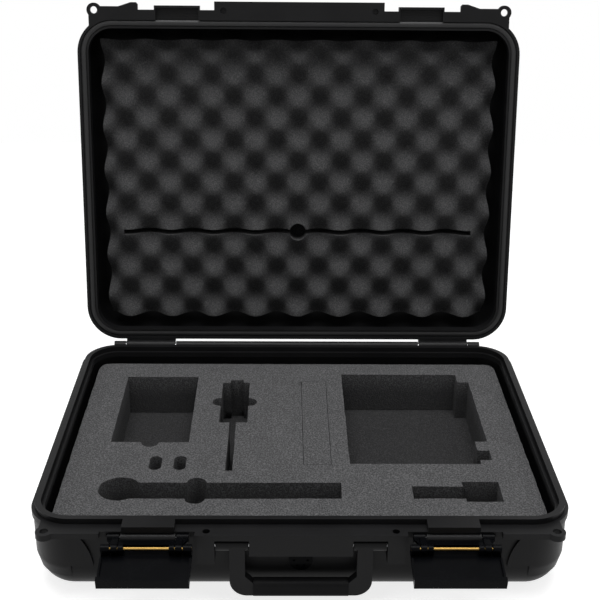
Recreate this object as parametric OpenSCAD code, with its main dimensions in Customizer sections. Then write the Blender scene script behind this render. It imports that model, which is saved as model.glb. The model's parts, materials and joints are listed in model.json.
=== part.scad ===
// Moulded utility case for a handheld microphone, standing open.
// X runs to the right, Y to the back and Z up. The origin is the middle of the base's flat underside.
// The lid and everything on it is drawn closed and then swung open about the hinge.

/* [Case] */
// Width of the case over its rim
case_w = 508; // [480:1:540]
// Depth of the case over its rim, front to back
case_d = 381; // [360:1:400]
// Height of the base, from the floor to the parting plane
base_h = 80; // [77:1:100]
// Height of the lid above the parting plane
lid_h = 50; // [48:1:70]
// Radius of the rim's corners, seen from above
corner_r = 40; // [38:1:46]
// Radius of the edges along the bottom of the base
base_edge_r = 32; // [28:1:34]
// Radius of the edges along the top of the lid
lid_edge_r = 24; // [20:1:26]
// Thickness of the moulded walls
wall = 3.5; // [3:0.1:4]
// Angle from closed at which the lid stands open
open_angle = 98.5; // [90:0.5:105]

/* [Foam] */
// Thickness of the cut foam block in the base
foam_t = 47.5; // [30:0.5:47.5]
// Drop of the foam's top face below the parting plane
foam_drop = 12.5; // [12:0.5:14]
// Distance between peaks of the convoluted foam in the lid
egg_pitch = 51; // [51:1:51]
// Height of the convoluted foam's peaks above its valleys
egg_rise = 17; // [8:1:18]

/* [Latches and handle] */
// Distance of each latch from the middle of the case
latch_x = 139.5; // [136:0.5:142]
// Length of each latch link, pivot to rod
link_len = 17; // [17:0.5:18]
// Reach of each latch lever, rod to tip
lever_len = 38.5; // [38:0.5:39]
// Angle of the open levers from hanging straight down
lever_tilt = 78; // [70:1:80]
// Width over the handle's legs
handle_w = 131.5; // [128:0.5:132]
// Distance from the handle's pivot to the underside of its bar
handle_drop = 52.5; // [48:0.5:54]

/* [Hidden] */
$fn = 64;

shell_black = [0.07, 0.07, 0.075];
latch_black = [0.05, 0.05, 0.07];
foam_grey = [0.24, 0.24, 0.25];
dark_foam = [0.17, 0.17, 0.18];
rubber_black = [0.04, 0.04, 0.04];
steel = [0.62, 0.62, 0.64];
brass = [0.80, 0.62, 0.25];

// The rim: a box section with the ridge on the base and the gasket groove in the lid
front_y = -case_d / 2;
rim_w = 12.4;
base_rim_t = 6;
lid_rim_t = 13;
lid_floor_t = 2.5;
groove = [3, 10.4];
ridge = [3.5, 9.2];
ridge_h = 5.7;
gasket_gap = 0.1;
wall_in = 4;
bumper_in = 1.5;

// Front flange: how far each stretch stands out of the rim, and where it ends
band_half = 97;
band_out_base = 15;
band_out_lid = 18;
latch_zone_out = 8.4;
lug_from = 184;
lug_to = 240;
lug_out = 12;
horn = [184, 186, 192, 206];
horn_out = 16.6;
horn_round = 2.2;
catch_half = 26;
catch_wall = 1.6;
catch_out = 13.2;
catch_h = 8.5;
tab_out = 10;
tab_half = 24;
tab_h = 5.7;
lock_out = 7.8;
lock_x = [86.6, 234];
lock_r = [3.5, 4];
lock_boss_r = 8;
blind_from = 3;

// Hinge: the axis lies in the parting plane, behind the rim
hinge_back = 8;
hinge_y = case_d / 2 + hinge_back;
hinge_pin_r = 2.5;
hinge_bore = 2.56;
knuckle_r = 6;
barrel_r = 5;
knuckle = [148.5, 207.5];
outer_knuckle = [208.5, 222.5];
hinge_pin = [126, 222.5];

// Latch: the link turns on the base, the lever on the brass rod at the link's end
pivot = [-8, -7];
block_r = 5;
block_half = 25;
arm = [26, 32];
arm_r = 4.6;
arm_t = 6.2;
rod_end_r = 4;
arm_gap = 0.6;
web_gap = 0.6;
wing_w = 37;
wing_t = 2.4;
latch_pin_r = 2;
latch_rod_r = 1.6;
pin_clear = 0.06;
plate_t = 3.2;
plate_off = 5.8;
plate_half = 41;
plate_root = 4;
lip_h = 5;
lip_t = 6.8;
side_rim = [1.8, 3];
side_rim_from = 8;
lever_ear = [20.5, 25.4];
lever_ear_r = 3.6;
lever_knuckle = [33, 41];
web = [5.7, 12.4];
web_t = 2.8;
wing_end = 5.5;

// Handle: two legs on short pins in the front of the base
handle_y = front_y - 8.5;
handle_z = base_h - 14;
leg_w = 14.25;
handle_t = [-5.5, 3.5];
bar_t = 14;
handle_corner = 16;
handle_barrel_r = 5.5;
handle_barrel = [48.2, 78.3];
handle_pin = [44.5, 82];
handle_pin_r = 2;
panel_half = 47.5;
pad = [79, 95];
panel_drop = 22.5;
pad_drop = 31;
boss_wall = 3;
grip_half = 50;
grip_skin = 1.5;

// Pressure valve, low in the front wall behind the handle
valve_r = 11;
valve_z = base_edge_r + valve_r;
valve_stem_r = 6.5;
valve_head_t = 3.2;
valve_vent = [6.5, 1.1];
seal_t = 0.8;

module rounded(w, d, r) {
    square([w - 2 * r, d], center = true);
    square([w, d - 2 * r], center = true);
    for (sx = [-1, 1], sy = [-1, 1]) translate([sx * (w / 2 - r), sy * (d / 2 - r)]) circle(r);
}

// Carries a section (distance in from the rim, height) round the case
module swept(w = case_w, d = case_d, r = corner_r) {
    for (k = [0:3]) {
        long = (k % 2 == 0 ? w : d) - 2 * r;
        out = (k % 2 == 0 ? d : w) / 2 - r;
        rotate([0, 0, 90 * k]) {
            translate([-long / 2, out, 0]) rotate([90, 0, 90]) linear_extrude(long)
                translate([r, 0]) mirror([1, 0]) children();
            translate([long / 2, out, 0]) rotate_extrude(angle = 90)
                translate([r, 0]) mirror([1, 0]) children();
        }
    }
}

// Section of a wall that runs down from a height and turns into the floor
module wall_section(height, edge) {
    turn = wall_in + edge;
    translate([turn, edge]) intersection() {
        difference() {
            circle(edge);
            circle(edge - wall);
        }
        translate([-edge, -edge]) square(edge);
    }
    translate([wall_in, edge]) square([wall, height - edge]);
    translate([turn, 0]) square([corner_r - turn, wall]);
}

// A tub: floor and walls, open at the top, without its rim
module tub(height, edge) {
    swept() wall_section(height, edge);
    translate([-case_w / 2 + corner_r, front_y + corner_r, 0])
        cube([case_w - 2 * corner_r, case_d - 2 * corner_r, wall]);
}

// Plan of the front flange, with the rim's own line cut away inside
module front_flange(band_out, with_horns) {
    difference() {
        union() {
            translate([-band_half, front_y - band_out]) square([2 * band_half, band_out + 3]);
            for (s = [-1, 1]) {
                translate([s * (band_half + lug_from) / 2, front_y - latch_zone_out / 2 + 1.5])
                    square([lug_from - band_half + 0.2, latch_zone_out + 3], center = true);
                translate([s * (lug_from + lug_to) / 2, front_y - lug_out / 2 + 10])
                    square([lug_to - lug_from, lug_out + 20], center = true);
                translate([s * lock_x[1], front_y - lock_out]) circle(lock_boss_r);
                if (with_horns) translate([0, front_y]) polygon([
                    [s * horn[0], 0], [s * horn[0], horn_round - horn_out], [s * horn[1], -horn_out],
                    [s * horn[2], -horn_out], [s * horn[3], -lug_out], [s * horn[3], 0]
                ]);
            }
        }
        rounded(case_w - 2, case_d - 2, corner_r - 1);
        for (s = [-1, 1], i = [0, 1]) translate([s * lock_x[i], front_y - lock_out]) circle(lock_r[i]);
    }
}

// Thicker pads that wrap the corners, each ending on its long face in an arc
module corner_bumpers(height, edge) {
    thick = wall_in - bumper_in + 1;
    for (k = [0:3]) rotate([0, 0, 90 * k]) {
        long = (k % 2 == 0 ? case_w : case_d) / 2 - corner_r;
        out = (k % 2 == 0 ? case_d : case_w) / 2 - corner_r;
        translate([long, out, 0]) rotate_extrude(angle = 90) polygon([
            [corner_r - bumper_in - thick, edge - edge / 3], [corner_r - bumper_in, edge + 3],
            [corner_r - bumper_in, height], [corner_r - bumper_in - thick, height]
        ]);
        for (s = [-1, 1]) translate([s * long, out + corner_r - bumper_in, 0]) rotate([90, 0, 0])
            linear_extrude(thick) intersection() {
                translate([s * (corner_r - 4), height - 42]) circle(57);
                translate([s > 0 ? -30 : 0, edge + 3]) square([30, height - edge - 3]);
            }
    }
}

// Upright ribs under the rim on the sides and the back
module rim_ribs(height) {
    rib = [3, wall_in - bumper_in + 1, 22];
    out = rib[1] / 2 - wall_in - 1;
    for (s = [-1, 1], i = [-2:2]) translate([s * (case_w / 2 + out), i * 42, height - rib[2] / 2])
        cube([rib[1], rib[0], rib[2]], center = true);
    for (i = [-2:2]) translate([i * 44, case_d / 2 + out, height - rib[2] / 2])
        cube([rib[0], rib[1], rib[2]], center = true);
}

// A hollow box on the front of the base, from its face back into the wall
module front_box(x0, x1, drop) {
    depth = band_out_base + wall_in + 1;
    translate([x0, front_y - band_out_base, base_h - drop]) difference() {
        cube([x1 - x0, depth, drop - base_rim_t + 1]);
        translate([boss_wall, boss_wall, boss_wall])
            cube([x1 - x0 - 2 * boss_wall, depth, drop - base_rim_t + 1 - boss_wall + 1]);
    }
}

module handle_mounts() {
    front_box(-panel_half, panel_half, panel_drop);
    front_box(pad[0], pad[1], pad_drop);
    front_box(-pad[1], -pad[0], pad_drop);
}

// Block under the flange that carries one latch's pivot pin
module latch_block(s) {
    y = front_y + pivot[0];
    z = base_h + pivot[1];
    translate([s * latch_x, y, z]) {
        rotate([0, 90, 0]) cylinder(r = block_r, h = 2 * block_half, center = true);
        translate([-block_half, 0, -block_r]) cube([2 * block_half, wall_in + 1 - pivot[0], 2 * block_r - 1]);
    }
}

module base_hinge() {
    stretch = [[-knuckle[0] + 1, knuckle[0] - 1], outer_knuckle, [-outer_knuckle[1], -outer_knuckle[0]]];
    for (e = stretch) translate([e[0], hinge_y, base_h]) {
        rotate([0, 90, 0]) cylinder(r = barrel_r, h = e[1] - e[0]);
        translate([0, -hinge_back - 1, -barrel_r]) cube([e[1] - e[0], hinge_back + 1, barrel_r]);
    }
}

module base_shell() {
    color(shell_black) difference() {
        union() {
            tub(base_h - base_rim_t, base_edge_r);
            swept() {
                translate([0, base_h - base_rim_t]) square([rim_w, base_rim_t]);
                translate([ridge[0], base_h]) square([ridge[1] - ridge[0], ridge_h]);
            }
            translate([0, 0, base_h - base_rim_t]) linear_extrude(base_rim_t)
                front_flange(band_out_base, false);
            for (s = [-1, 1]) {
                translate([s * latch_x - tab_half, front_y - tab_out, base_h])
                    cube([2 * tab_half, tab_out + ridge[0] + 1, tab_h]);
                latch_block(s);
            }
            corner_bumpers(base_h - base_rim_t, base_edge_r);
            rim_ribs(base_h - base_rim_t);
            handle_mounts();
            base_hinge();
        }
        for (s = [-1, 1]) {
            translate([s * (hinge_pin[0] + hinge_pin[1]) / 2, hinge_y, base_h]) rotate([0, 90, 0])
                cylinder(r = hinge_pin_r, h = hinge_pin[1] - hinge_pin[0], center = true);
            translate([s * latch_x, front_y + pivot[0], base_h + pivot[1]]) rotate([0, 90, 0]) {
                cylinder(r = latch_pin_r, h = 2 * wing_w, center = true);
                for (t = [-1, 1]) translate([0, 0, t * (block_half + wing_w + 1 + arm_gap / 2) / 2])
                    cylinder(r = arm_r + arm_gap, h = wing_w + 1 - block_half - arm_gap / 2, center = true);
            }
            translate([s * (handle_pin[0] + handle_pin[1]) / 2, handle_y, handle_z]) rotate([0, 90, 0])
                cylinder(r = handle_pin_r, h = handle_pin[1] - handle_pin[0], center = true);
        }
        translate([0, front_y, valve_z]) rotate([-90, 0, 0]) cylinder(r = valve_stem_r, h = 20);
    }
}

module base_pad() {
    inset = wall_in + base_edge_r;
    color(dark_foam) translate([0, 0, wall]) linear_extrude(base_h - foam_drop - foam_t - wall)
        rounded(case_w - 2 * inset, case_d - 2 * inset, 14);
}

// Cut-outs in the base foam, each a plan shape; positions are from the middle of the case
mic_y = -109.5;
mic_from = -178;
mic_to = 41;
module microphone_cut() {
    translate([mic_from, mic_y + 3]) circle(21);
    translate([mic_from, mic_y - 14.6]) square([mic_to - mic_from, 29.2]);
    for (s = [-1, 1]) translate([-102.6, mic_y + s * 13.7]) circle(10);
    translate([-112.6, mic_y - 13.7]) square([20, 27.4]);
}

module receiver_cut() {
    translate([-199, -15]) square([82.5, 152.5]);
    translate([-157.5, -15]) circle(9.5);
}

module stand_clip_cut() {
    translate([-87, 28]) square([31, 95]);
    translate([-78, 122]) square([15, 7.5]);
    for (x = [-87, -56]) translate([x, 75.5]) circle(9.5);
    translate([-75.5, -72.5]) square([7.2, 101]);
}

module battery_cuts() {
    for (x = [-147.5, -122.5]) hull() for (s = [-1, 1]) translate([x, -57.5 + s * 7.2]) circle(6.4);
}

module transmitter_cut() {
    translate([51.7, -58.5]) square([135.3, 203.5]);
    translate([186, -13]) square([14, 138.5]);
    translate([186, -50.5]) square([13.5, 19]);
}

module plug_lead_cut() {
    translate([111, -123.4]) square([52, 22]);
    translate([162, -129]) square([36.4, 36]);
}

plug_from = [4, -60];
plug_size = [29, 187];
plug_slit = 0.5;

foam_w = case_w - 2 * 17;
foam_d = case_d - 2 * 13.5;

module base_foam() {
    color(foam_grey) translate([0, 0, base_h - foam_drop - foam_t]) linear_extrude(foam_t) difference() {
        rounded(foam_w, foam_d, 16);
        microphone_cut();
        receiver_cut();
        stand_clip_cut();
        battery_cuts();
        transmitter_cut();
        plug_lead_cut();
        translate(plug_from) square(plug_size);
    }
}

module foam_plug() {
    low = [plug_from[0] + plug_slit, plug_from[1] + plug_slit, base_h - foam_drop - foam_t];
    color(foam_grey) translate(low)
        cube([plug_size[0] - 2 * plug_slit, plug_size[1] - 2 * plug_slit, foam_t]);
}

module hinge_pin_at(s) {
    color(steel) translate([s * (hinge_pin[0] + hinge_pin[1]) / 2, hinge_y, base_h]) rotate([0, 90, 0])
        cylinder(r = hinge_pin_r, h = hinge_pin[1] - hinge_pin[0], center = true);
}

module latch_pin_at(s) {
    color(steel) translate([s * latch_x, front_y + pivot[0], base_h + pivot[1]]) rotate([0, 90, 0])
        cylinder(r = latch_pin_r, h = 2 * wing_w, center = true);
}

module handle_pin_at(s) {
    color(steel) translate([s * (handle_pin[0] + handle_pin[1]) / 2, handle_y, handle_z]) rotate([0, 90, 0])
        cylinder(r = handle_pin_r, h = handle_pin[1] - handle_pin[0], center = true);
}

module pressure_valve() {
    color(rubber_black) translate([0, front_y + wall_in - seal_t, valve_z]) rotate([-90, 0, 0]) {
        translate([0, 0, -valve_head_t]) difference() {
            cylinder(r = valve_r, h = valve_head_t);
            for (a = [0:60:300]) rotate([0, 0, a]) translate([valve_vent[0], 0, -1])
                cylinder(r = valve_vent[1], h = 2.2, $fn = 24);
        }
        cylinder(r = valve_stem_r, h = wall + seal_t + 2.6);
    }
}

module valve_seal() {
    color(rubber_black) translate([0, front_y + wall_in - seal_t, valve_z]) rotate([-90, 0, 0]) difference() {
        cylinder(r = valve_r - 1, h = seal_t);
        translate([0, 0, -1]) cylinder(r = valve_stem_r, h = seal_t + 2);
    }
}

module valve_nut() {
    color(latch_black) translate([0, front_y + wall_in + wall, valve_z]) rotate([-90, 0, 0]) difference() {
        cylinder(r = valve_r - 0.5, h = 2.4, $fn = 6);
        translate([0, 0, -1]) cylinder(r = valve_stem_r, h = 5);
    }
}

// Swings what is drawn closed about the hinge to the open lid's place
module opened() {
    translate([0, hinge_y, base_h]) rotate([-open_angle, 0, 0]) translate([0, -hinge_y, 0]) children();
}

// The lid's hinge arms, one pair of long knuckles reaching back from the rim
module lid_knuckles() {
    for (x = [-knuckle[1], knuckle[0]]) translate([x, hinge_y, 0])
        rotate([90, 0, 90]) linear_extrude(knuckle[1] - knuckle[0]) {
            circle(knuckle_r);
            translate([-hinge_back - 1, 0.4]) square([hinge_back + 1, knuckle_r - 0.4]);
            polygon([[-hinge_back - 1, 5], [-2, 5], [-hinge_back, lid_rim_t], [-hinge_back - 1, lid_rim_t]]);
        }
}

module lid_shell() {
    color(shell_black) opened() difference() {
        union() {
            translate([0, 0, lid_h]) mirror([0, 0, 1]) {
                tub(lid_h - lid_rim_t, lid_edge_r);
                corner_bumpers(lid_h - lid_rim_t, lid_edge_r);
                rim_ribs(lid_h - lid_rim_t);
            }
            swept() square([rim_w, lid_rim_t]);
            linear_extrude(base_rim_t - 1) front_flange(band_out_lid, true);
            for (s = [-1, 1]) {
                translate([s * latch_x - catch_half, front_y - catch_out, 0])
                    cube([2 * catch_half, catch_out + 1, catch_h]);
                translate([s * lock_x[0], front_y - lock_out, blind_from])
                    cylinder(r = lock_r[0] + 1, h = base_rim_t - 1 - blind_from);
            }
            lid_knuckles();
        }
        translate([0, 0, -1]) swept() translate([groove[0], 0])
            square([groove[1] - groove[0], lid_rim_t - lid_floor_t + 1]);
        for (s = [-1, 1]) {
            translate([s * latch_x - catch_half + catch_wall, front_y - tab_out - 0.6, -1])
                cube([2 * (catch_half - catch_wall), tab_out + 0.6 + groove[0] + 1, tab_h + 1.5]);
            translate([s * (knuckle[0] + knuckle[1]) / 2, hinge_y, 0]) rotate([0, 90, 0])
                cylinder(r = hinge_bore, h = 80, center = true);
        }
    }
}

module lid_gasket() {
    crown = 2.1;
    half = (groove[1] - groove[0]) / 2 - gasket_gap;
    top = lid_rim_t - lid_floor_t;
    foot = ridge_h + 0.6 + crown;
    color(rubber_black) opened() swept() translate([(groove[0] + groove[1]) / 2, 0]) intersection() {
        translate([-half, 0]) square([2 * half, top]);
        union() {
            translate([-half, foot]) square([2 * half, top - foot]);
            translate([0, foot - crown + half]) circle(half);
        }
    }
}

// Convoluted foam: peaks and valleys on a grid of quarter pitches, flat at the back
egg_step = egg_pitch / 4;
egg_nx = 36;
egg_ny = 26;
egg_y = -0.5;
egg_peak = 12;
egg_back = 0.945;
slot_half = 209;
slot_w = 6;
slot_y = 61;
slot_hole_r = 10;
slot_floor = 6;
function egg_x_at(i) = (i - egg_nx / 2) * egg_step;
function egg_y_at(j) = egg_y + (j - egg_ny / 2) * egg_step;
function egg_wave(i, j) = cos(90 * (i - egg_nx / 2)) * cos(90 * (j - 14));
function egg_z_at(i, j) = egg_peak + egg_rise / 2 * (1 - egg_wave(i, j));
function egg_id(i, j) = j * (egg_nx + 1) + i;

module lid_foam() {
    top = lid_h - wall;
    face = [for (j = [0:egg_ny], i = [0:egg_nx]) [egg_x_at(i), egg_y_at(j), egg_z_at(i, j)]];
    rim = concat(
        [for (i = [0:egg_nx - 1]) [i, 0]],
        [for (j = [0:egg_ny - 1]) [egg_nx, j]],
        [for (i = [egg_nx:-1:1]) [i, egg_ny]],
        [for (j = [egg_ny:-1:1]) [0, j]]
    );
    back = [for (p = rim) [egg_x_at(p[0]) * egg_back, egg_y_at(p[1]) * egg_back, top]];
    n = len(face);
    m = len(rim);
    faces = concat(
        [for (j = [0:egg_ny - 1], i = [0:egg_nx - 1]) [egg_id(i, j), egg_id(i + 1, j), egg_id(i + 1, j + 1)]],
        [for (j = [0:egg_ny - 1], i = [0:egg_nx - 1]) [egg_id(i, j), egg_id(i + 1, j + 1), egg_id(i, j + 1)]],
        [for (k = [0:m - 1]) let (a = rim[k]) [egg_id(a[0], a[1]), n + k, n + (k + 1) % m]],
        [for (k = [0:m - 1]) let (a = rim[k], b = rim[(k + 1) % m])
            [egg_id(a[0], a[1]), n + (k + 1) % m, egg_id(b[0], b[1])]],
        [[for (k = [m - 1:-1:0]) n + k]]
    );
    color(dark_foam) opened() resize([egg_nx * egg_step, 0, 0]) difference() {
        polyhedron(points = concat(face, back), faces = faces);
        translate([-slot_half, slot_y - slot_w / 2, -1]) cube([2 * slot_half, slot_w, top - slot_floor]);
        translate([0, slot_y, -1]) cylinder(r = slot_hole_r, h = top - slot_floor, $fn = 24);
    }
}

// The link is a web between two arms. At rest it points straight out of the case
module latch_link_at(s) {
    color(latch_black) translate([s * latch_x, front_y + pivot[0], base_h + pivot[1]]) difference() {
        union() {
            for (t = [-1, 1]) {
                translate([t * (arm[0] + wing_w) / 2, 0, 0]) rotate([0, 90, 0])
                    cylinder(r = arm_r, h = wing_w - arm[0], center = true);
                translate([t * (arm[0] + arm[1]) / 2, -link_len, 0]) rotate([0, 90, 0])
                    cylinder(r = rod_end_r, h = arm[1] - arm[0], center = true);
                translate([t * (arm[0] + arm[1]) / 2, -link_len / 2, 0])
                    cube([arm[1] - arm[0], link_len, arm_t], center = true);
                translate([0, 0, -wing_t / 2]) linear_extrude(wing_t)
                    polygon([[t * (arm[1] - 1), 2], [t * wing_w, 2], [t * wing_w, -3],
                        [t * (arm[1] + 0.5), wing_end - link_len], [t * (arm[1] - 1), wing_end - link_len]]);
            }
            translate([-arm[0] - 1, -web[1], -web_t / 2]) cube([2 * arm[0] + 2, web[1] - web[0], web_t]);
        }
        rotate([0, 90, 0]) cylinder(r = latch_pin_r + pin_clear, h = 100, center = true);
        rotate([0, 90, 0]) cylinder(r = block_r + web_gap, h = 2 * block_half + 1.6, center = true);
        translate([0, -link_len, 0]) rotate([0, 90, 0]) cylinder(r = latch_rod_r, h = 100, center = true);
    }
}

module latch_rod_at(s) {
    color(brass) translate([s * latch_x, front_y + pivot[0] - link_len, base_h + pivot[1]]) rotate([0, 90, 0])
        cylinder(r = latch_rod_r, h = 2 * plate_half, center = true);
}

// One barrel of the lever round the rod, with its root to the plate
module lever_barrel(x, r) {
    translate([(x[0] + x[1]) / 2, 0, 0]) {
        rotate([0, 90, 0]) cylinder(r = r, h = x[1] - x[0], center = true);
        translate([0, (plate_off + 0.5) / 2, 0]) cube([x[1] - x[0], plate_off + 0.5, 2 * r], center = true);
    }
}

// Drawn hanging from the rod with its lip to the front, then tilted out to where the open lever stands
module latch_lever_at(s) {
    color(latch_black) translate([s * latch_x, front_y + pivot[0] - link_len, base_h + pivot[1]])
        rotate([-lever_tilt, 0, 0]) difference() {
            union() {
                translate([-plate_half, plate_off, -lever_len])
                    cube([2 * plate_half, plate_t, lever_len + plate_root]);
                translate([-plate_half, plate_off - lip_t, -lever_len])
                    cube([2 * plate_half, lip_t + 1, lip_h]);
                for (t = [0, 1]) mirror([t, 0, 0]) {
                    translate([plate_half - side_rim[0], plate_off - side_rim[1], -lever_len])
                        cube([side_rim[0], side_rim[1] + 1, lever_len - side_rim_from]);
                    lever_barrel(lever_ear, lever_ear_r);
                    lever_barrel(lever_knuckle, rod_end_r);
                }
            }
            rotate([0, 90, 0]) cylinder(r = latch_rod_r + pin_clear, h = 100, center = true);
        }
}

module handle_frame() {
    half = handle_w / 2;
    inner = half - leg_w;
    low = -handle_drop - bar_t + 14;
    bar_top = low + bar_t;
    depth = handle_t[1] - handle_t[0];
    color(shell_black) translate([0, handle_y, handle_z]) difference() {
        union() {
            translate([0, handle_t[1], 0]) rotate([90, 0, 0]) linear_extrude(depth) difference() {
                union() {
                    translate([-half, low + handle_corner])
                        square([2 * half, -low - handle_corner]);
                    translate([-half + handle_corner, low]) square([2 * (half - handle_corner), 40]);
                    for (t = [-1, 1]) translate([t * (half - handle_corner), low + handle_corner])
                        circle(handle_corner);
                }
                polygon([[-inner, 1], [-inner, bar_top + 7], [-inner + 7, bar_top],
                    [inner - 7, bar_top], [inner, bar_top + 7], [inner, 1]]);
            }
            for (x = [-handle_barrel[1], handle_barrel[0]]) translate([x, 0, 0]) rotate([0, 90, 0])
                cylinder(r = handle_barrel_r, h = handle_barrel[1] - handle_barrel[0]);
        }
        rotate([0, 90, 0]) cylinder(r = handle_pin_r + pin_clear, h = 200, center = true);
    }
}

module handle_grip() {
    low = -handle_drop - bar_t + 14;
    depth = handle_t[1] - handle_t[0];
    outer = [bar_t + 2 * grip_skin, depth + 4];
    color(rubber_black) translate([0, handle_y + (handle_t[0] + handle_t[1]) / 2, handle_z + low + bar_t / 2])
        rotate([0, 90, 0]) linear_extrude(2 * (grip_half - 6), center = true) difference() {
            rounded(outer[0], outer[1], 5);
            square([bar_t, depth], center = true);
        }
}

base_shell();
base_pad();
base_foam();
foam_plug();
hinge_pin_at(-1);  // hinge_pin_left
hinge_pin_at(1);  // hinge_pin_right
latch_pin_at(-1);  // latch_pin_left
latch_pin_at(1);  // latch_pin_right
handle_pin_at(-1);  // handle_pin_left
handle_pin_at(1);  // handle_pin_right
pressure_valve();
valve_seal();
valve_nut();
lid_shell();
lid_gasket();
lid_foam();
latch_link_at(-1);  // latch_link_left
latch_link_at(1);  // latch_link_right
latch_rod_at(-1);  // latch_rod_left
latch_rod_at(1);  // latch_rod_right
latch_lever_at(-1);  // latch_lever_left
latch_lever_at(1);  // latch_lever_right
handle_frame();
handle_grip();
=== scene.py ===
import json
import math

import bmesh
import bpy
from mathutils import Matrix, Vector, noise


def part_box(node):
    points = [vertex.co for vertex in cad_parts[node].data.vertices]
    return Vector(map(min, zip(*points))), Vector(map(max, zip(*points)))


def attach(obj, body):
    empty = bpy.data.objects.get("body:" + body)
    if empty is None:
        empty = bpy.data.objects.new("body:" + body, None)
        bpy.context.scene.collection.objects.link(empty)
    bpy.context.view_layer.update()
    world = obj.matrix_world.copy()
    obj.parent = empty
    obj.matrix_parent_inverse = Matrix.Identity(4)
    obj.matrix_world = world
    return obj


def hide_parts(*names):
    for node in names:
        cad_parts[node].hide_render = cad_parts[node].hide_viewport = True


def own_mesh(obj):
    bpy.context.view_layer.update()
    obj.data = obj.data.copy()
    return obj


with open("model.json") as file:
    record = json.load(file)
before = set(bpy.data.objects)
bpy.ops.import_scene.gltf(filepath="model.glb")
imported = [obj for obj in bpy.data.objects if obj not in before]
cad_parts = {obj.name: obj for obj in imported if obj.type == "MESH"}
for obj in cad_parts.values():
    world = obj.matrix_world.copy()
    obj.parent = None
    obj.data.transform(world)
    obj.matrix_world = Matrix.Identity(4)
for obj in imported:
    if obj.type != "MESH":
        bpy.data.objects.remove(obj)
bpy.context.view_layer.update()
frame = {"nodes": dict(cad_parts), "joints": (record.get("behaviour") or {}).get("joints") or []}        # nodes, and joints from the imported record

jointAt = {joint["name"]: Vector(joint["pos_m"]) for joint in frame["joints"]}
hinge = jointAt["lid_hinge"]
sides = ("left", "right")


# Sockets with arithmetic

class Value:
    def __init__(self, tree, out):
        self.tree = tree
        self.out = out

    def math(self, operation, first, second=0.0):
        return addNode(self.tree, "ShaderNodeMath", {"operation": operation}, {0: first, 1: second})

    def __add__(self, other):
        return self.math("ADD", self, other)

    def __radd__(self, other):
        return self.math("ADD", other, self)

    def __sub__(self, other):
        return self.math("SUBTRACT", self, other)

    def __rsub__(self, other):
        return self.math("SUBTRACT", other, self)

    def __mul__(self, other):
        return self.math("MULTIPLY", self, other)

    def __rmul__(self, other):
        return self.math("MULTIPLY", other, self)

    def __truediv__(self, other):
        return self.math("DIVIDE", self, other)

    def __rtruediv__(self, other):
        return self.math("DIVIDE", other, self)

    def size(self):
        return self.math("ABSOLUTE", self)

    def sign(self):
        return self.math("SIGN", self)

    def cosine(self):
        return self.math("COSINE", self)

    def clamped(self):
        return addNode(self.tree, "ShaderNodeClamp", {}, {"Value": self})


def addNode(tree, kind, settings=None, inputs=None, output=0):
    node = tree.nodes.new(kind)
    for name, value in (settings or {}).items():
        setattr(node, name, value)
    for name, value in (inputs or {}).items():
        parts = value if isinstance(value, list) else [value]
        for part in parts:
            if isinstance(part, Value):
                tree.links.new(part.out, node.inputs[name])
            else:
                node.inputs[name].default_value = part
    return Value(tree, node.outputs[output])


# Materials: everything that varies feeds colour, roughness or a bump

class Finish:
    def __init__(self, name, constants):
        self.material = bpy.data.materials.new(name)
        self.material.use_nodes = True
        self.tree = self.material.node_tree
        self.shader = self.tree.nodes["Principled BSDF"]
        self.place = self.add("ShaderNodeTexCoord", output="Object")
        for socket, value in constants.items():
            self.shader.inputs[socket].default_value = value

    def add(self, kind, settings=None, inputs=None, output=0):
        return addNode(self.tree, kind, settings, inputs, output)

    def noise(self, scale, detail=2.0, stretch=None):
        place = self.place
        if stretch:
            place = self.add("ShaderNodeMapping", {}, {"Vector": place, "Scale": stretch})
        inputs = {"Vector": place, "Scale": scale, "Detail": detail, "Roughness": 0.55}
        return self.add("ShaderNodeTexNoise", {}, inputs)

    def cells(self, scale):
        return self.add("ShaderNodeTexVoronoi", {}, {"Vector": self.place, "Scale": scale}, "Distance")

    def blend(self, amount, low, high):
        # By place, because the node's number, vector and colour sockets share their names
        colours = {0: amount, 6: (*low, 1.0), 7: (*high, 1.0)}
        return self.add("ShaderNodeMix", {"data_type": "RGBA"}, colours, 2)

    def feed(self, socket, value):
        self.tree.links.new(value.out, self.shader.inputs[socket])

    def bump(self, height, strength, distance):
        inputs = {"Height": height, "Strength": strength, "Distance": distance}
        self.feed("Normal", self.add("ShaderNodeBump", {}, inputs))


plastics = {
    "shellPlastic": {
        "slot": "shell_plastic", "dark": (0.0024, 0.0024, 0.0026), "light": (0.0074, 0.0074, 0.0079),
        "gloss": 0.12, "roughness": 0.42, "cloudScale": 22.0, "grainScale": 900.0, "scuffScale": 60.0,
        "grain": 0.35, "grainDepth": 0.0003,
    },
    "latchPlastic": {
        "slot": "latch_plastic", "dark": (0.0006, 0.0007, 0.0009), "light": (0.0024, 0.0026, 0.0034),
        "gloss": 0.03, "roughness": 0.26, "cloudScale": 30.0, "grainScale": 500.0, "scuffScale": 90.0,
        "grain": 0.10, "grainDepth": 0.0002,
    },
    # The rubber's own dark grey, lightened as painted light where the lid's groove shades the gasket
    "gasketRubberPaintedLight": {
        "slot": "gasket_rubber", "dark": (0.0100, 0.0100, 0.0102), "light": (0.0180, 0.0180, 0.0186),
        "gloss": 0.25, "roughness": 0.46, "cloudScale": 40.0, "grainScale": 700.0, "scuffScale": 80.0,
        "grain": 0.15, "grainDepth": 0.0002,
    },
    "gripRubber": {
        "slot": "grip_rubber", "dark": (0.0030, 0.0030, 0.0032), "light": (0.0085, 0.0085, 0.0090),
        "gloss": 0.05, "roughness": 0.50, "cloudScale": 40.0, "grainScale": 800.0, "scuffScale": 70.0,
        "grain": 0.30, "grainDepth": 0.0003,
    },
}
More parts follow.
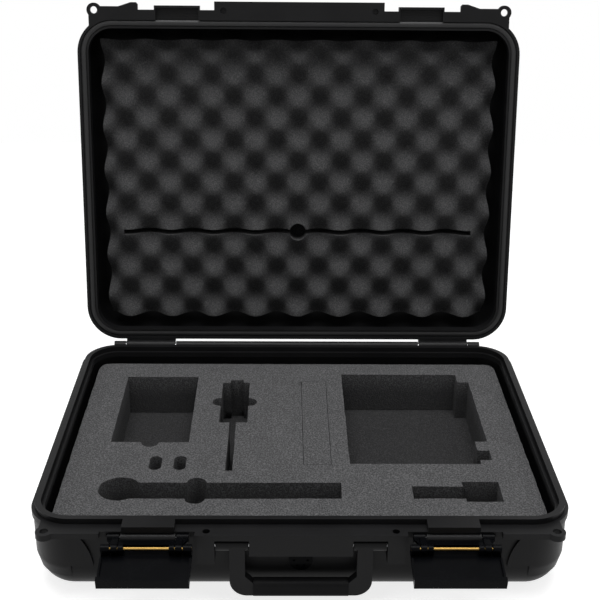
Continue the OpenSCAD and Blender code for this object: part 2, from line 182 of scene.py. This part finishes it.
# How far clouds, grain and scuffs change the tone and the roughness of every plastic
plasticWear = {"cloudTone": 0.75, "grainTone": 0.25, "scuffTone": 0.12,
               "cloudRough": 0.14, "grainRough": 0.10, "scuffRough": 0.05,
               "scuffFrom": 0.62, "scuffGain": 6.0, "scuffStretch": (1.0, 0.25, 1.0)}


def plastic(name, look):
    finish = Finish(name, {"Specular IOR Level": look["gloss"]})
    wear = plasticWear
    cloud = finish.noise(look["cloudScale"], 3.0)
    grain = finish.noise(look["grainScale"])
    scuff = finish.noise(look["scuffScale"], 4.0, wear["scuffStretch"])
    worn = ((scuff - wear["scuffFrom"]) * wear["scuffGain"]).clamped()
    tone = (wear["cloudTone"] * cloud + wear["grainTone"] * grain + wear["scuffTone"] * worn).clamped()
    rough = look["roughness"] + (cloud - 0.5) * wear["cloudRough"] + (grain - 0.5) * wear["grainRough"]
    finish.feed("Base Color", finish.blend(tone, look["dark"], look["light"]))
    finish.feed("Roughness", rough + worn * wear["scuffRough"])
    finish.bump(grain, look["grain"], look["grainDepth"])
    return finish.material


foams = {
    "baseFoam": {
        "slot": "base_foam_grey", "dark": (0.026, 0.026, 0.0268), "light": (0.118, 0.118, 0.121),
        "cellScale": 620.0, "patchScale": 30.0, "patch": 0.20, "bump": 0.6, "bumpDepth": 0.0007,
        "top": 0.0655, "fade": 0.022, "paintedShade": 0.75,  # painted shade: darker down inside the pockets
    },
    "lidFoam": {
        "slot": "lid_foam_dark", "dark": (0.018, 0.018, 0.0185), "light": (0.060, 0.060, 0.0615),
        "cellScale": 700.0, "patchScale": 24.0, "patch": 0.18, "bump": 0.5, "bumpDepth": 0.0006,
    },
    # Painted shade: the lid's dark foam made darker still, for the pad down on the pocket floors
    "padFoamPaintedShade": {
        "slot": "lid_foam_dark", "dark": (0.010, 0.010, 0.0104), "light": (0.036, 0.036, 0.037),
        "cellScale": 700.0, "patchScale": 24.0, "patch": 0.12, "bump": 0.5, "bumpDepth": 0.0006,
    },
}
# How the open cells and the finer crumbs between them make a foam's tone and height
foamCells = {"poreTone": 1.15, "crumbTone": 0.55, "toneBase": -0.42, "poreHeight": 0.7, "crumbHeight": 0.6,
             "crumbsPerPore": 1.7}


def foam(name, look):
    finish = Finish(name, {"Specular IOR Level": 0.15, "Roughness": 0.95})
    pores = finish.cells(look["cellScale"])
    crumbs = finish.noise(look["cellScale"] * foamCells["crumbsPerPore"], 3.0)
    patch = (finish.noise(look["patchScale"]) - 0.5) * look["patch"]
    cells = foamCells["poreTone"] * pores + foamCells["crumbTone"] * crumbs + foamCells["toneBase"]
    tone = (cells + patch).clamped()
    # Painted shade: the tone darkens with depth below the foam's top, down inside the pockets
    if "paintedShade" in look:
        height = finish.add("ShaderNodeSeparateXYZ", {}, {0: finish.place}, "Z")
        sunk = ((look["top"] - height) / look["fade"]).clamped()
        tone = tone * (1.0 - sunk * look["paintedShade"])
    finish.feed("Base Color", finish.blend(tone, look["dark"], look["light"]))
    rise = foamCells["crumbHeight"] * crumbs + foamCells["poreHeight"] * pores
    finish.bump(rise, look["bump"], look["bumpDepth"])
    return finish.material


metals = {
    "steel": {"dark": (0.42, 0.42, 0.43), "light": (0.66, 0.66, 0.68), "roughness": 0.30},
    "blackSteel": {"dark": (0.020, 0.020, 0.021), "light": (0.050, 0.050, 0.052), "roughness": 0.34},
    "brass": {"dark": (0.17, 0.102, 0.026), "light": (0.30, 0.190, 0.056), "roughness": 0.30},
}
brushMarks = {"scale": 900.0, "stretch": (0.03, 1.0, 1.0), "tone": 0.5, "rough": 0.12, "bump": 0.08,
              "depth": 0.0001, "cloudScale": 60.0, "cloudTone": 0.5}


def metal(name, look):
    finish = Finish(name, {"Metallic": 1.0})
    brush = finish.noise(brushMarks["scale"], 3.0, brushMarks["stretch"])
    cloud = finish.noise(brushMarks["cloudScale"])
    tone = brushMarks["tone"] * brush + brushMarks["cloudTone"] * cloud
    finish.feed("Base Color", finish.blend(tone, look["dark"], look["light"]))
    finish.feed("Roughness", look["roughness"] + (brush - 0.5) * brushMarks["rough"])
    finish.bump(brush, brushMarks["bump"], brushMarks["depth"])
    return finish.material


finishes = {}
for make, looks in ((plastic, plastics), (foam, foams), (metal, metals)):
    for name, look in looks.items():
        finishes[name] = make(name, look)
print("materials made:", ", ".join(finishes))


# Meshes

lidStandsOpen = 98.5  # degrees from closed
openTurn = Matrix.Rotation(math.radians(-lidStandsOpen), 4, "X")
# Carries a thing drawn over the closed base to its place in the open lid
openLid = Matrix.Translation(hinge) @ openTurn @ Matrix.Translation(-hinge)

# Points this close, in metres, and faces this flat, in degrees, become one in a node's copy
merging = {"apart": 0.00002, "flat": 0.4}


def newObject(name, mesh, material):
    mesh.materials.clear()  # a tree's primitives bring an empty slot of their own
    mesh.materials.append(material)
    obj = bpy.data.objects.new(name, mesh)
    bpy.context.scene.collection.objects.link(obj)
    return obj


def objectFrom(bm, name, finish):
    mesh = bpy.data.meshes.new(name)
    bm.to_mesh(mesh)
    bm.free()
    return newObject(name, mesh, finishes[finish])


def settle(obj):
    # Turns the evaluated object into a plain mesh and drops the modifiers
    bpy.context.view_layer.update()
    graph = bpy.context.evaluated_depsgraph_get()
    mesh = bpy.data.meshes.new_from_object(obj.evaluated_get(graph))
    obj.modifiers.clear()
    obj.data = mesh


def smoothShade(obj, sharpDegrees):
    mesh = obj.data
    mesh.polygons.foreach_set("use_smooth", [True] * len(mesh.polygons))
    mesh.set_sharp_from_angle(angle=math.radians(sharpDegrees))
    weighted = obj.modifiers.new("weighted", "WEIGHTED_NORMAL")
    weighted.keep_sharp = True
    weighted.weight = 80
    settle(obj)


def mergedCopy(node):
    bm = bmesh.new()
    bm.from_mesh(frame["nodes"][node].data)
    bmesh.ops.remove_doubles(bm, verts=bm.verts, dist=merging["apart"])
    flat = math.radians(merging["flat"])
    bmesh.ops.dissolve_limit(bm, angle_limit=flat, verts=bm.verts, edges=bm.edges)
    return bm


def softenEdges(bm, width, segments, minDegrees, wanted=None):
    edges = []
    for edge in bm.edges:
        if len(edge.link_faces) == 2 and edge.calc_face_angle() > math.radians(minDegrees):
            if wanted is None or wanted(edge):
                edges.append(edge)
    bmesh.ops.bevel(bm, geom=edges, offset=width, offset_type="OFFSET", segments=segments, profile=0.5,
                    affect="EDGES", clamp_overlap=True, miter_outer="SHARP")


def dress(obj, body, node=None):
    # Hides the node that the piece stands for and hangs the piece on what carries it
    if node:
        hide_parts(node)
    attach(obj, body)
    print(obj.name, len(obj.data.polygons), "faces")


def moulded(name, node, body, finish, edge, segments=2, reshape=None):
    # A moulded piece: the node's own form with its edges rounded
    bm = mergedCopy(node)
    if reshape:
        reshape(bm)
    softenEdges(bm, edge, segments, minDegrees=28)
    obj = objectFrom(bm, name, finish)
    smoothShade(obj, sharpDegrees=42)
    dress(obj, body, node)
    return obj


# Base and lid shells

moulded("baseShell", "base_shell", "base", "shellPlastic", edge=0.0006)
moulded("lidShell", "lid_shell", "lid", "shellPlastic", edge=0.0006)

# The open lid's gasket stands up to the mouth of its groove, where the solid is drawn pressed.
# Heights go up from the closed case's parting line
gasket = {"pressedCrown": 0.0063, "pressedShoulder": 0.0085, "crown": 0.0009, "dome": 0.55,
          "grooveFloor": 0.0105, "pressedTo": 0.42}


def relaxed(bm):
    bm.transform(openLid.inverted())
    for vert in bm.verts:
        depth = vert.co.z - hinge.z
        if depth < gasket["pressedShoulder"]:
            rise = (depth - gasket["pressedCrown"]) * gasket["dome"]
            vert.co.z = hinge.z + gasket["crown"] + rise
    bm.transform(openLid)


band = moulded("lidGasket", "lid_gasket", "lid", "gasketRubberPaintedLight", edge=0.0003, reshape=relaxed)
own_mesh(band)
print("shells dressed")


# Cut foam in the base

cutFoam = {
    "step": 0.008, "edge": 0.0007,
    "wander": 0.0005, "waviness": 140.0, "wanderDown": 0.3,  # sideways, as a knife leaves its cuts
    "dip": 0.0006, "dipScale": 22.0, "dipSlice": 7.0, "skin": 0.004,  # the top sinks a little, unevenly
    "rollWidth": 0.013, "roll": 0.0022,  # the block's outer edge rolls over
    "slitMargin": 0.001, "seed": 7,
}
blockLow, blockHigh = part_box("base_foam")
plugLow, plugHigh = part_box("foam_plug")


def atSlit(place):
    # The slits round the plug stay as narrow as the knife left them
    margin = cutFoam["slitMargin"]
    return (plugLow.x - margin < place.x < plugHigh.x + margin
            and plugLow.y - margin < place.y < plugHigh.y + margin)


def divideFinely(bm, low, high):
    # Gives the block's flat faces points that can wander
    for axis in range(3):
        count = int((high[axis] - low[axis]) / cutFoam["step"])
        normal = Vector((axis == 0, axis == 1, axis == 2))
        for k in range(1, count):
            place = low.copy()
            place[axis] = low[axis] + (high[axis] - low[axis]) * k / count
            geom = bm.verts[:] + bm.edges[:] + bm.faces[:]
            bmesh.ops.bisect_plane(bm, geom=geom, dist=1e-6, plane_co=place, plane_no=normal)


def cutByHand(bm, top):
    noise.seed_set(cutFoam["seed"])  # without one, noise_vector starts from the clock
    for vert in bm.verts:
        place = vert.co
        if not atSlit(place):
            along = Vector((place.x, place.y, cutFoam["wanderDown"] * place.z))
            push = noise.noise_vector(along * cutFoam["waviness"])
            place.x += push.x * cutFoam["wander"]
            place.y += push.y * cutFoam["wander"]
        if top - place.z < cutFoam["skin"]:
            flat = Vector((place.x, place.y, cutFoam["dipSlice"]))
            dip = 0.5 + 0.5 * noise.noise(flat * cutFoam["dipScale"])
            inside = min(place.x - blockLow.x, blockHigh.x - place.x,
                         place.y - blockLow.y, blockHigh.y - place.y)
            roll = max(0.0, 1.0 - inside / cutFoam["rollWidth"])
            place.z -= dip * cutFoam["dip"] + roll * roll * cutFoam["roll"]


def foamPiece(name, node, finish):
    low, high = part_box(node)

    def topEdge(edge):
        middle = (edge.verts[0].co + edge.verts[1].co) / 2
        return abs(middle.z - high.z) < 1e-5 and not atSlit(middle)

    bm = mergedCopy(node)
    divideFinely(bm, low, high)
    softenEdges(bm, cutFoam["edge"], segments=2, minDegrees=40, wanted=topEdge)
    cutByHand(bm, high.z)
    obj = objectFrom(bm, name, finish)
    smoothShade(obj, sharpDegrees=40)
    dress(obj, "base", node)


foamPiece("baseFoam", "base_foam", "baseFoam")
foamPiece("foamPlug", "foam_plug", "baseFoam")
# The pad takes the darker copy of the lid's foam, painted shade on the pocket floors
foamPiece("basePad", "base_pad", "padFoamPaintedShade")
print("base foam cut")


# Shapes that follow a rule are grown by Geometry Nodes from named sizes

def sizedTree(name, sizes):
    tree = bpy.data.node_groups.new(name, "GeometryNodeTree")
    for way in ("INPUT", "OUTPUT"):
        tree.interface.new_socket(name="Geometry", in_out=way, socket_type="NodeSocketGeometry")
    for size, value in sizes.items():
        kind = "NodeSocketInt" if isinstance(value, int) else "NodeSocketFloat"
        tree.interface.new_socket(name=size, in_out="INPUT", socket_type=kind)
    group = tree.nodes.new("NodeGroupInput")
    return tree, {socket.name: Value(tree, socket) for socket in group.outputs if socket.name}


def joined(tree, x, y, z):
    return addNode(tree, "ShaderNodeCombineXYZ", {}, {0: x, 1: y, 2: z})


def endTree(tree, shape, material):
    real = addNode(tree, "GeometryNodeRealizeInstances", {}, {"Geometry": shape})
    painted = addNode(tree, "GeometryNodeSetMaterial", {}, {"Geometry": real, "Material": material})
    end = tree.nodes.new("NodeGroupOutput")
    tree.links.new(painted.out, end.inputs[0])


def grown(tree, sizes):
    # The tree's shape at these sizes, as a plain mesh that is still to be placed
    holder = bpy.data.objects.new(tree.name, bpy.data.meshes.new(tree.name))
    bpy.context.scene.collection.objects.link(holder)
    modifier = holder.modifiers.new(tree.name, "NODES")
    modifier.node_group = tree
    for item in tree.interface.items_tree:
        if item.item_type == "SOCKET" and item.in_out == "INPUT" and item.name in sizes:
            modifier[item.identifier] = sizes[item.name]
    settle(holder)
    bm = bmesh.new()
    bm.from_mesh(holder.data)
    bpy.data.objects.remove(holder)
    return bm


# Convoluted foam in the lid, made flat above the closed base and then swung open

eggFoam = {
    "width": 0.459, "depth": 0.3315, "yMiddle": -0.0005, "peak": 0.012, "rise": 0.017, "back": 0.0465,
    "taper": 0.055, "pitch": 0.051, "pinch": 0.0022, "edgeBand": 0.018, "unevenness": 0.0008,
    "lumpScale": 45.0, "columns": 184, "rows": 134, "layers": 7, "slotLength": 0.418, "slotWidth": 0.006,
    "slotY": 0.061, "holeRadius": 0.010, "holeSides": 48, "cutTo": 0.0405,
}


def eggTree():
    tree, given = sizedTree("convolutedFoam", eggFoam)
    block = addNode(tree, "GeometryNodeMeshCube", {}, {
        "Size": joined(tree, given["width"], given["depth"], 1.0),
        "Vertices X": given["columns"], "Vertices Y": given["rows"], "Vertices Z": given["layers"],
    })
    place = addNode(tree, "GeometryNodeInputPosition")
    x, y, z = (addNode(tree, "ShaderNodeSeparateXYZ", {}, {0: place}, axis) for axis in "XYZ")
    toBack = z + 0.5  # 0 at the waves, 1 at the flat back
    turn = 2 * math.pi
    waveX = (x * turn / given["pitch"]).cosine()
    waveY = (y * turn / given["pitch"] - math.pi / 2).cosine()
    valley = 0.5 - 0.5 * waveX * waveY
    lumpy = {"Vector": place, "Scale": given["lumpScale"], "Detail": 1.0}
    lumps = addNode(tree, "ShaderNodeTexNoise", {}, lumpy)
    front = given["peak"] + given["rise"] * valley + given["unevenness"] * lumps
    height = front * (1.0 - toBack) + given["back"] * toBack

    def pinched(along, extent):
        # The block's sides draw in where a valley meets them
        reach = ((along.size() - extent * 0.5 + given["edgeBand"]) / given["edgeBand"]).clamped()
        pull = reach * reach * given["pinch"] * valley * (1.0 - toBack)
        return along - pull * along.sign()

    taper = 1.0 - given["taper"] * toBack
    across = pinched(x, given["width"]) * taper
    up = (pinched(y, given["depth"]) + given["yMiddle"]) * taper
    moved = {"Geometry": block, "Position": joined(tree, across, up, height)}
    shaped = addNode(tree, "GeometryNodeSetPosition", {}, moved)
    slotSize = joined(tree, given["slotLength"], given["slotWidth"], given["cutTo"])
    slot = addNode(tree, "GeometryNodeMeshCube", {}, {"Size": slotSize})
    hole = addNode(tree, "GeometryNodeMeshCylinder", {}, {
        "Vertices": given["holeSides"], "Radius": given["holeRadius"],
        "Depth": given["cutTo"] * 0.998,  # a hair short, so that the two cuts share no face
    })
    cutAt = joined(tree, 0.0, given["slotY"], given["cutTo"] * 0.5)
    cutters = [addNode(tree, "GeometryNodeTransform", {}, {"Geometry": cutter, "Translation": cutAt})
               for cutter in (slot, hole)]
    cut = addNode(tree, "GeometryNodeMeshBoolean", {"operation": "DIFFERENCE"}, {0: shaped, 1: cutters})
    endTree(tree, cut, finishes["lidFoam"])
    return tree


def convolutedFoam():
    bm = grown(eggTree(), eggFoam)
    bm.transform(openLid @ Matrix.Translation((0, 0, hinge.z)))
    bmesh.ops.remove_doubles(bm, verts=bm.verts, dist=0.00001)
    bmesh.ops.recalc_face_normals(bm, faces=bm.faces)
    obj = objectFrom(bm, "lidFoam", "lidFoam")
    smoothShade(obj, sharpDegrees=50)
    dress(obj, "lid", "lid_foam")


convolutedFoam()


# Latches and handle

for side in sides:
    for part, edge in (("Link", 0.0004), ("Lever", 0.0005)):
        node = "latch_" + part.lower() + "_" + side
        moulded("latch" + part + "_" + side, node, node, "latchPlastic", edge)
moulded("handleFrame", "handle_frame", "handle", "shellPlastic", edge=0.0012, segments=3)
moulded("handleGrip", "handle_grip", "handle", "gripRubber", edge=0.0005)
print("latches and handle dressed")


# Moulded ribs: a row of bars in each of the lid's catches

catchRibs = {
    "row": {"count": 4, "pitch": 0.0024, "length": 0.0455, "width": 0.0008, "height": 0.0004},
    "round": 0.0001, "y": -0.1960, "z": 0.0862,
}


def ribTree():
    tree, given = sizedTree("ribs", catchRibs["row"])
    first = given["pitch"] * (given["count"] - 1.0) * -0.5
    row = addNode(tree, "GeometryNodeMeshLine", {}, {
        "Count": given["count"], "Start Location": joined(tree, 0.0, first, 0.0),
        "Offset": joined(tree, 0.0, given["pitch"], 0.0),
    })
    size = joined(tree, given["length"], given["width"], given["height"])
    bar = addNode(tree, "GeometryNodeMeshCube", {}, {"Size": size})
    bars = addNode(tree, "GeometryNodeInstanceOnPoints", {}, {"Points": row, "Instance": bar})
    endTree(tree, bars, finishes["shellPlastic"])
    return tree


def ribsIn(tree, side):
    across = jointAt["latch_link_" + side + "_swing"].x
    bm = grown(tree, catchRibs["row"])
    softenEdges(bm, catchRibs["round"], segments=2, minDegrees=40)
    bm.transform(openLid @ Matrix.Translation((across, catchRibs["y"], catchRibs["z"])))
    obj = objectFrom(bm, "catchRibs_" + side, "shellPlastic")
    smoothShade(obj, sharpDegrees=50)
    dress(obj, "lid")


shellRibs = ribTree()
for side in sides:
    ribsIn(shellRibs, side)
print("ribs made")


# Nodes whose form is right keep their mesh and get a finish

kept = {
    "steel": ["hinge_pin_left", "hinge_pin_right", "handle_pin_left", "handle_pin_right"],
    "blackSteel": ["latch_pin_left", "latch_pin_right"],
    "brass": ["latch_rod_left", "latch_rod_right"],
    "latchPlastic": ["pressure_valve", "valve_nut"],
    "gasketRubberPaintedLight": ["valve_seal"],
}
for finish, nodes in kept.items():
    for node in nodes:
        for holder in frame["nodes"][node].material_slots:
            holder.link = "OBJECT"
            holder.material = finishes[finish]
print("pins, rods and valve finished")


# Floor, light and camera

studio = {"floorSize": 2.8, "floorTone": 0.50, "floorGlow": 0.80, "ambient": 0.09}
softboxes = {
    "keyLeft": {"place": (-1.3, -1.1, 1.6), "target": (0, 0, 0.15), "size": (1.2, 1.2), "power": 5},
    "keyRight": {"place": (1.4, -0.9, 1.5), "target": (0, 0, 0.15), "size": (1.2, 1.2), "power": 6},
    "overhead": {"place": (0.0, -0.2, 2.0), "target": (0, 0.05, 0.1), "size": (1.6, 1.2), "power": 45},
}
# Solved from the rims and the padlock holes: place in metres, angles in degrees, lens in millimetres
cameraView = {"place": (-0.0172, -1.0961, 0.6905), "down": 23.02, "yaw": 0.89, "roll": 0.56,
              "lens": 70.16, "sensor": 36.0}


def seenWhite(tree):
    # 1 where the camera, a reflection or glass looks, and 0 for the light that falls on the case
    rays = [addNode(tree, "ShaderNodeLightPath", output="Is " + kind + " Ray")
            for kind in ("Camera", "Glossy", "Transmission")]
    return (rays[0] + rays[1] + rays[2]).clamped()


def whiteFloor():
    material = bpy.data.materials.new("whiteFloor")
    material.use_nodes = True
    tree = material.node_tree
    tree.nodes.remove(tree.nodes["Principled BSDF"])
    tone = studio["floorTone"]
    diffuse = addNode(tree, "ShaderNodeBsdfDiffuse", {}, {"Color": (tone, tone, tone, 1)})
    glow = addNode(tree, "ShaderNodeEmission", {}, {"Strength": seenWhite(tree) * studio["floorGlow"]})
    both = addNode(tree, "ShaderNodeAddShader", {}, {0: diffuse, 1: glow})
    tree.links.new(both.out, tree.nodes["Material Output"].inputs["Surface"])
    return material


def makeFloor():
    half = studio["floorSize"] / 2
    corners = [(-half, -half, 0), (half, -half, 0), (half, half, 0), (-half, half, 0)]
    mesh = bpy.data.meshes.new("floor")
    mesh.from_pydata(corners, [], [(0, 1, 2, 3)])
    newObject("floor", mesh, whiteFloor())


def makeWorld():
    world = bpy.data.worlds.new("studio")
    bpy.context.scene.world = world
    world.use_nodes = True
    tree = world.node_tree
    strength = studio["ambient"] + seenWhite(tree) * (1.0 - studio["ambient"])
    background = tree.nodes["Background"]
    background.inputs["Color"].default_value = (1, 1, 1, 1)
    tree.links.new(strength.out, background.inputs["Strength"])


def makeSoftbox(name, box):
    lamp = bpy.data.lights.new(name, "AREA")
    lamp.shape = "RECTANGLE"
    lamp.size, lamp.size_y = box["size"]
    lamp.energy = box["power"]
    obj = bpy.data.objects.new(name, lamp)
    obj.location = box["place"]
    aim = Vector(box["target"]) - Vector(box["place"])
    obj.rotation_euler = aim.to_track_quat("-Z", "Y").to_euler()
    bpy.context.scene.collection.objects.link(obj)


def makeCamera():
    down, yaw, roll = (math.radians(cameraView[angle]) for angle in ("down", "yaw", "roll"))
    forward = Vector((math.sin(yaw) * math.cos(down), math.cos(yaw) * math.cos(down), -math.sin(down)))
    right = Vector((math.cos(yaw), -math.sin(yaw), 0))
    up = right.cross(forward)
    axisX = right * math.cos(roll) + up * math.sin(roll)
    axisY = up * math.cos(roll) - right * math.sin(roll)
    data = bpy.data.cameras.new("camera")
    data.lens = cameraView["lens"]
    data.sensor_width = cameraView["sensor"]
    camera = bpy.data.objects.new("camera", data)
    turn = Matrix((axisX, axisY, -forward)).transposed().to_4x4()
    camera.matrix_world = Matrix.Translation(cameraView["place"]) @ turn
    bpy.context.scene.collection.objects.link(camera)
    bpy.context.scene.camera = camera


makeFloor()
makeWorld()
for name, box in softboxes.items():
    makeSoftbox(name, box)
makeCamera()
bpy.context.scene.view_settings.view_transform = "Standard"
print("studio ready")
